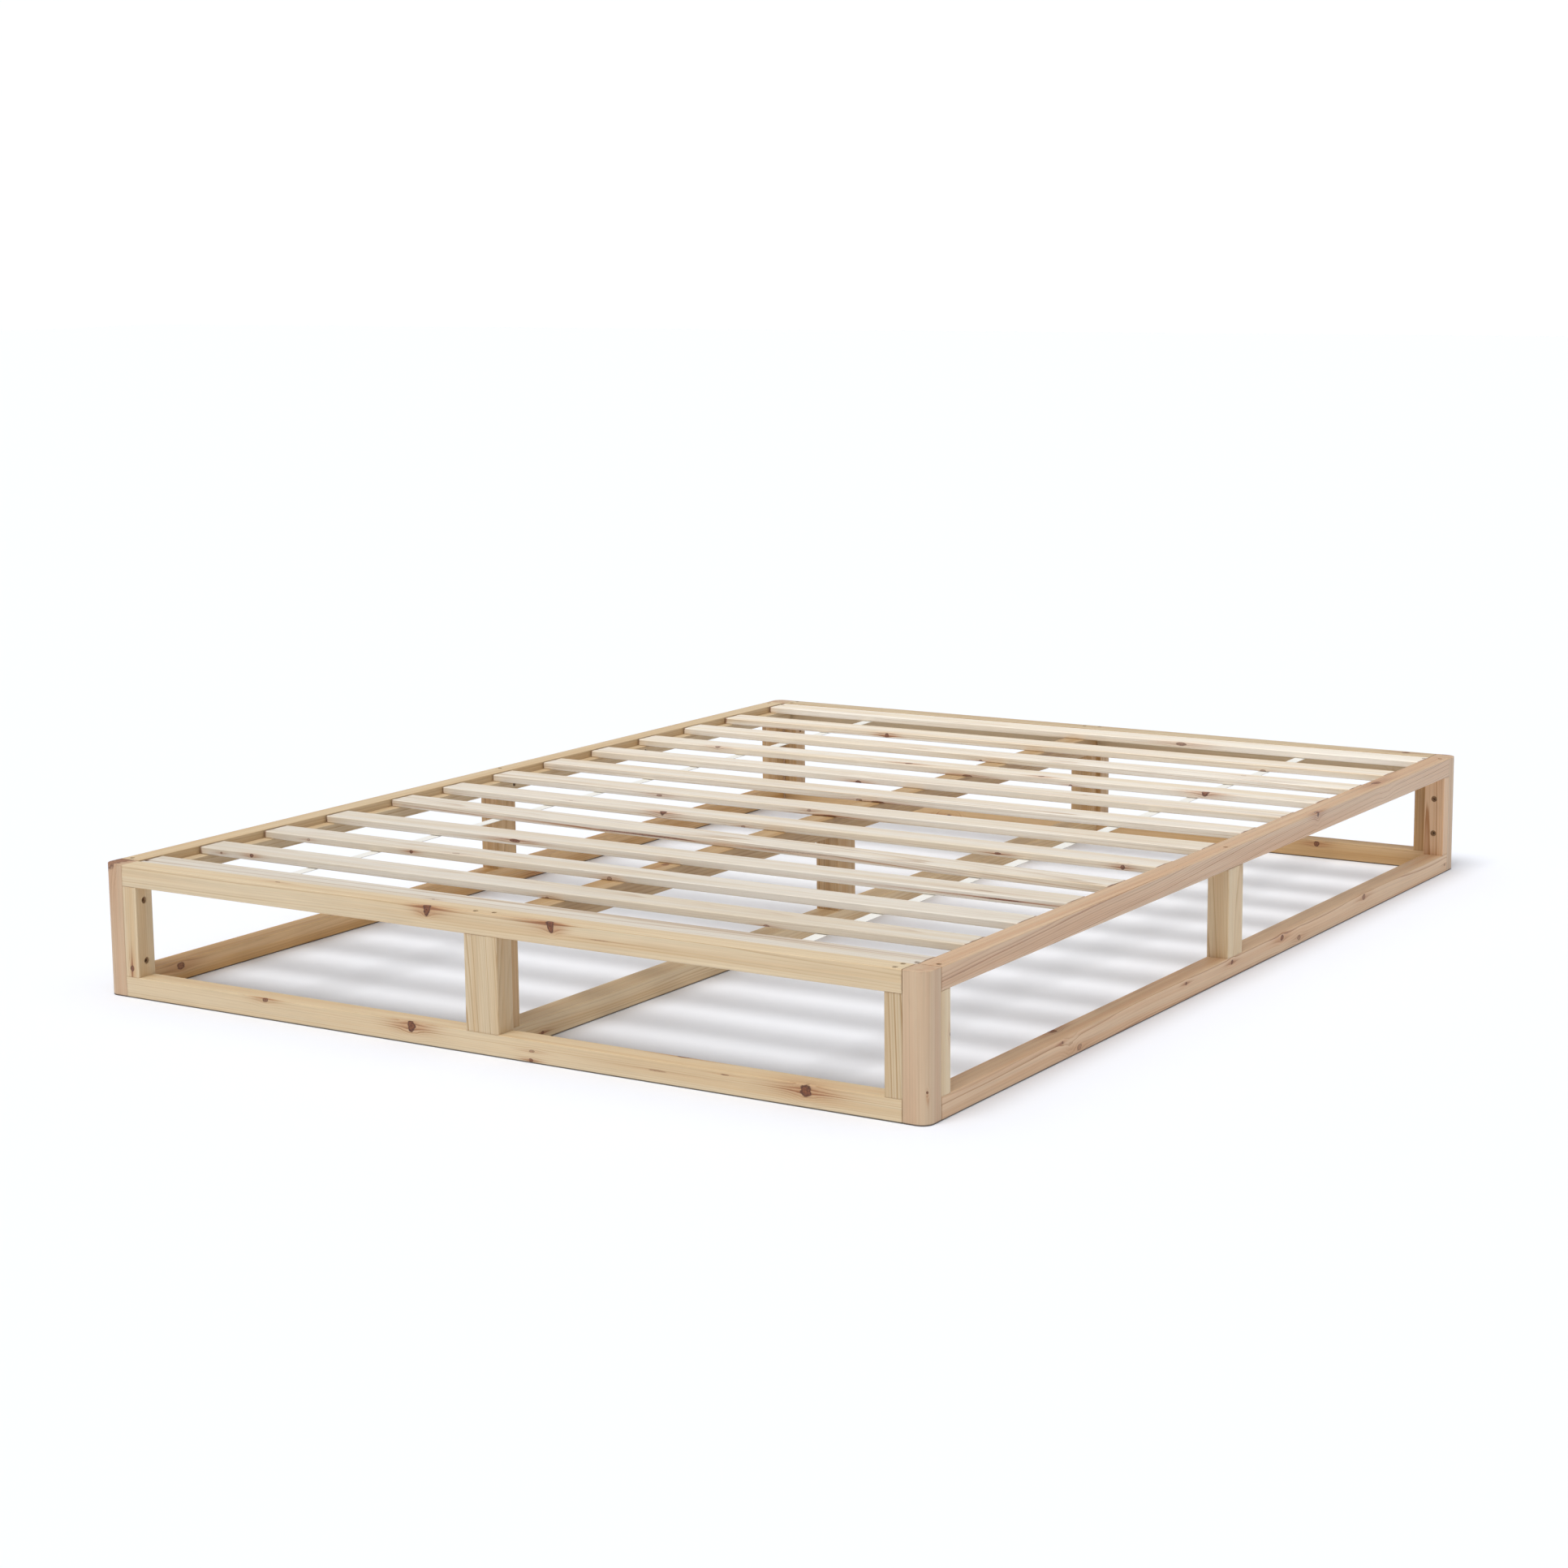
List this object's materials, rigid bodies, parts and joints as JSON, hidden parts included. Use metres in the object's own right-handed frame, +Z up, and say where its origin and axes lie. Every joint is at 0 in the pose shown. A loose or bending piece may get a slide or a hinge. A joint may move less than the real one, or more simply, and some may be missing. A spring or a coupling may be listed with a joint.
{
  "type": "bed frame",
  "caption": "Low platform bed frame in solid pine: ladder-like side, end and centre frames between rounded corner posts, with a taped row of flat slats.",
  "frame": {"origin": "middle of the floor plan, on the floor", "axes": "+X across the bed to its right side seen from the front end, +Y along the bed to the back end, +Z up"},
  "size_m": [1.5, 2, 0.214],
  "materials": {
    "post_timber": "bare planed pine, pinkish tan",
    "rail_timber": "bare planed pine",
    "slat_timber": "bare planed pine, pale",
    "tape_fabric": "woven white tape",
    "bolt_steel": "yellow-passivated steel",
    "screw_steel": "zinc-plated steel"
  },
  "bodies": {
    "root": {"corner_post_front_left": "post_timber", "corner_post_front_right": "post_timber", "corner_post_back_left": "post_timber", "corner_post_back_right": "post_timber", "front_top_rail": "rail_timber", "front_bottom_rail": "rail_timber", "front_left_stile": "rail_timber", "front_right_stile": "rail_timber", "front_mid_post": "rail_timber", "back_top_rail": "rail_timber", "back_bottom_rail": "rail_timber", "back_left_stile": "rail_timber", "back_right_stile": "rail_timber", "back_mid_post": "rail_timber", "left_top_rail": "rail_timber", "left_bottom_rail": "rail_timber", "left_front_stile": "rail_timber", "left_back_stile": "rail_timber", "left_mid_post": "rail_timber", "right_top_rail": "rail_timber", "right_bottom_rail": "rail_timber", "right_front_stile": "rail_timber", "right_back_stile": "rail_timber", "right_mid_post": "rail_timber", "centre_top_beam": "rail_timber", "centre_bottom_rail": "rail_timber", "centre_front_stile": "rail_timber", "centre_back_stile": "rail_timber", "centre_mid_post": "rail_timber", "left_ledger": "rail_timber", "right_ledger": "rail_timber", "slat_01": "slat_timber", "slat_02": "slat_timber", "slat_03": "slat_timber", "slat_04": "slat_timber", "slat_05": "slat_timber", "slat_06": "slat_timber", "slat_07": "slat_timber", "slat_08": "slat_timber", "slat_09": "slat_timber", "slat_10": "slat_timber", "slat_11": "slat_timber", "slat_12": "slat_timber", "slat_13": "slat_timber", "left_tape": "tape_fabric", "right_tape": "tape_fabric", "end_frame_bolts": "bolt_steel", "side_frame_bolts": "bolt_steel", "centre_frame_bolts": "bolt_steel", "insert_nuts": "bolt_steel", "top_rail_screws": "screw_steel", "bottom_rail_screws": "screw_steel", "centre_frame_screws": "screw_steel", "ledger_screws": "screw_steel", "end_slat_screws": "screw_steel", "tape_staples": "screw_steel"}
  },
  "joints": []
}
